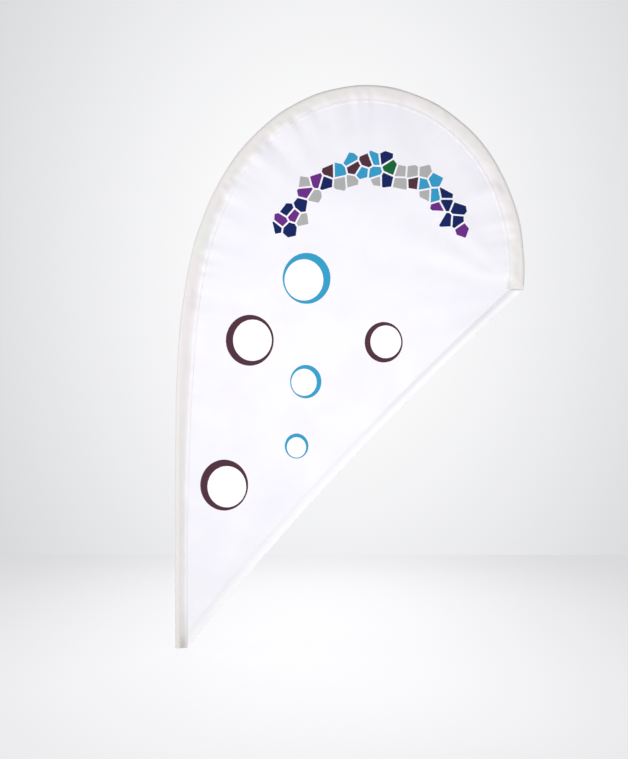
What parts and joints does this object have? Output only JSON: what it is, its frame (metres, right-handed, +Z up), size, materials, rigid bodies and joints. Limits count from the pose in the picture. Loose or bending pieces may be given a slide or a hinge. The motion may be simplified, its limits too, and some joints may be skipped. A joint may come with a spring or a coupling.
{
  "type": "teardrop flag",
  "caption": "Teardrop flag: a printed cloth panel held taut by a sectional pole bent inside its sewn sleeve, turning on a bush at its foot.",
  "frame": {"origin": "centre of the foot bush's lower face, on the pole's axis, where the spigot of a ground base enters", "axes": "+Z up along the straight foot of the pole; +X towards the fly corner; -Y is the printed front"},
  "size_m": [1.2397, 0.0272, 1.9999],
  "materials": {
    "panel_cloth": "white woven polyester, printed",
    "sleeve_cloth": "off-white heavy polyester",
    "webbing": "off-white webbing",
    "aluminium": "satin anodised",
    "fibreglass": "pultruded glass fibre, satin",
    "nylon": "black moulded nylon",
    "rubber": "black rubber",
    "nickel": "nickel plated brass",
    "spring_steel": "spring steel strip"
  },
  "bodies": {
    "bush": {"foot_bush": "nylon"},
    "flag": {"flag_panel": "panel_cloth", "pole_sleeve": "sleeve_cloth", "hem_tape": "sleeve_cloth", "mouth_facing": "webbing", "tip_pocket": "webbing", "eyelet_patch": "webbing", "pole_foot_section": "aluminium", "pole_lower_section": "fibreglass", "pole_upper_section": "fibreglass", "pole_tip_section": "fibreglass", "ferrule_1": "aluminium", "ferrule_2": "aluminium", "ferrule_3": "aluminium", "stop_collar_1": "nylon", "stop_collar_2": "nylon", "stop_collar_3": "nylon", "tip_cap": "rubber", "button_spring": "spring_steel", "eyelet": "nickel"},
    "button": {"snap_button": "nickel"}
  },
  "joints": [
    {"name": "flag_turn", "type": "hinge", "parent": "bush", "child": "flag", "pos_m": [0, 0, 0], "axis": [0, 0, 1], "continuous": true},
    {"name": "button_press", "type": "slide", "parent": "flag", "child": "button", "axis": [0, -1, 0], "range_m": [0, 0.0063], "stiffness_N_per_m": 900, "springref_m": -0.002, "deforming": ["button_spring"]}
  ]
}
